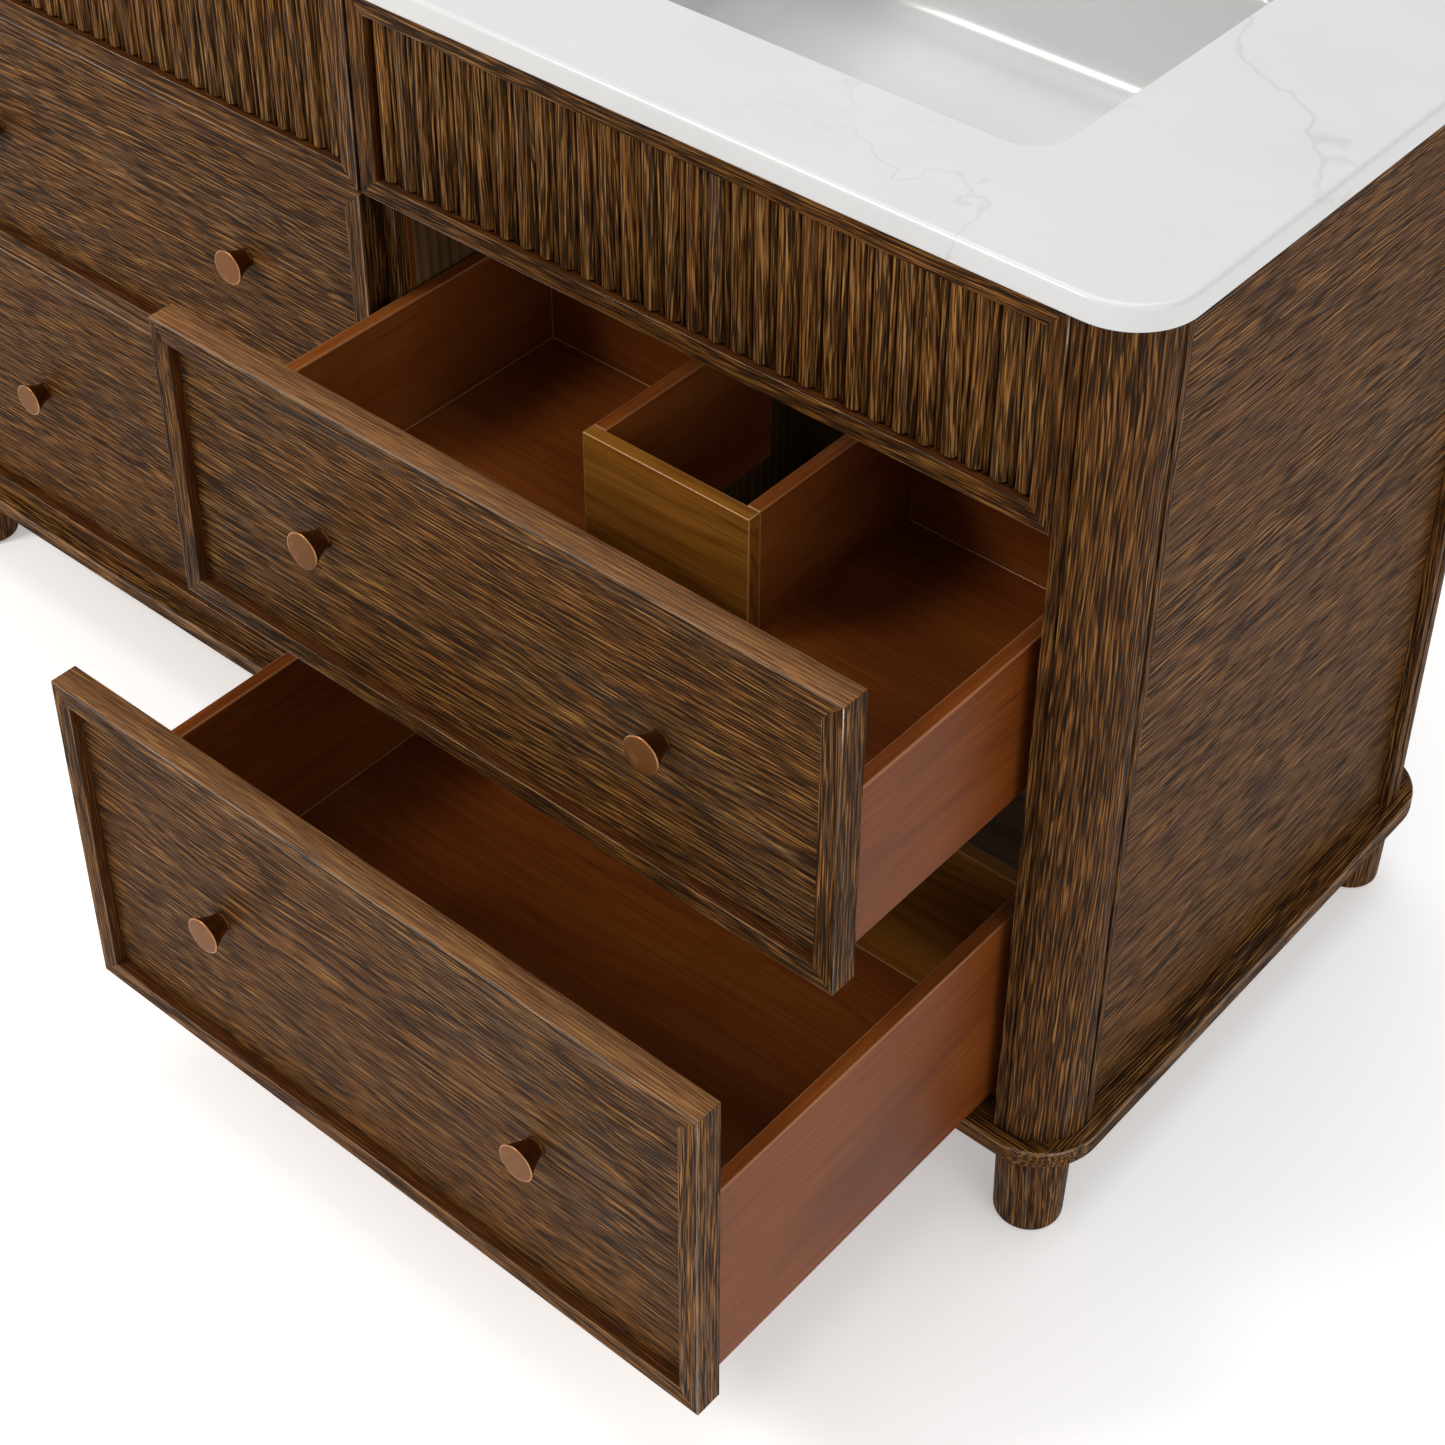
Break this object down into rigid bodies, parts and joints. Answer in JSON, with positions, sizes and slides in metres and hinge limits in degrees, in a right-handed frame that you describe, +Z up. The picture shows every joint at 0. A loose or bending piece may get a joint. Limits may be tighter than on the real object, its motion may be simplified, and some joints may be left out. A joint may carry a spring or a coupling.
{
  "type": "bathroom vanity cabinet",
  "caption": "Wide wooden bathroom vanity with rounded corner posts, reeded false fronts, framed sliding drawers, short round legs and a white stone top with undermount sinks.",
  "frame": {"origin": "floor level, under the middle of the cabinet, in the plane of the closed drawer fronts", "axes": "+X to the right seen from the front, +Y back towards the wall, +Z up"},
  "size_m": [1.374, 0.8985, 0.864],
  "materials": {
    "oak": "wire-brushed open-grain oak, dark brown, satin",
    "carcass_wood": "sealed veneer board, satin",
    "drawer_wood": "stained solid wood, satin",
    "quartz": "polished, white with faint grey veins",
    "porcelain": "glossy white glaze",
    "bronze": "antique copper-bronze, rubbed edges",
    "drain_metal": "polished",
    "runner_steel": "zinc-plated"
  },
  "bodies": {
    "carcass": {"countertop_left": "quartz", "countertop_right": "quartz", "sink_basin_left": "porcelain", "sink_basin_right": "porcelain", "sink_drains": "drain_metal", "base_board": "oak", "leg_front_left": "oak", "leg_front_right": "oak", "leg_rear_left": "oak", "leg_rear_right": "oak", "post_front_left": "oak", "post_front_right": "oak", "post_rear_left": "oak", "post_rear_right": "oak", "side_panel_left": "oak", "side_panel_right": "oak", "carcass_floor": "carcass_wood", "back_panel": "carcass_wood", "front_top_rail": "carcass_wood", "rear_top_rail": "carcass_wood", "center_partition": "carcass_wood", "false_front_frame_left": "oak", "false_front_frame_right": "oak", "reeded_panel_left": "oak", "reeded_panel_right": "oak", "drawer_runners": "runner_steel"},
    "drawer_upper_left": {"upper_left_front_frame": "oak", "upper_left_front_panel": "oak", "upper_left_knobs": "bronze", "upper_left_box_side_left": "drawer_wood", "upper_left_box_side_right": "drawer_wood", "upper_left_box_front": "drawer_wood", "upper_left_box_back": "drawer_wood", "upper_left_box_floor": "drawer_wood", "upper_left_pipe_notch": "drawer_wood"},
    "drawer_upper_right": {"upper_right_front_frame": "oak", "upper_right_front_panel": "oak", "upper_right_knobs": "bronze", "upper_right_box_side_left": "drawer_wood", "upper_right_box_side_right": "drawer_wood", "upper_right_box_front": "drawer_wood", "upper_right_box_back": "drawer_wood", "upper_right_box_floor": "drawer_wood", "upper_right_pipe_notch": "drawer_wood"},
    "drawer_lower_left": {"lower_left_front_frame": "oak", "lower_left_front_panel": "oak", "lower_left_knobs": "bronze", "lower_left_box_side_left": "drawer_wood", "lower_left_box_side_right": "drawer_wood", "lower_left_box_front": "drawer_wood", "lower_left_box_back": "drawer_wood", "lower_left_box_floor": "drawer_wood"},
    "drawer_lower_right": {"lower_right_front_frame": "oak", "lower_right_front_panel": "oak", "lower_right_knobs": "bronze", "lower_right_box_side_left": "drawer_wood", "lower_right_box_side_right": "drawer_wood", "lower_right_box_front": "drawer_wood", "lower_right_box_back": "drawer_wood", "lower_right_box_floor": "drawer_wood"}
  },
  "joints": [
    {"name": "upper_left_slide", "type": "slide", "parent": "carcass", "child": "drawer_upper_left", "axis": [0, -1, 0], "range_m": [0, 0.35]},
    {"name": "upper_right_slide", "type": "slide", "parent": "carcass", "child": "drawer_upper_right", "axis": [0, -1, 0], "range_m": [-0.205, 0.145]},
    {"name": "lower_left_slide", "type": "slide", "parent": "carcass", "child": "drawer_lower_left", "axis": [0, -1, 0], "range_m": [0, 0.35]},
    {"name": "lower_right_slide", "type": "slide", "parent": "carcass", "child": "drawer_lower_right", "axis": [0, -1, 0], "range_m": [-0.336, 0.014]}
  ]
}
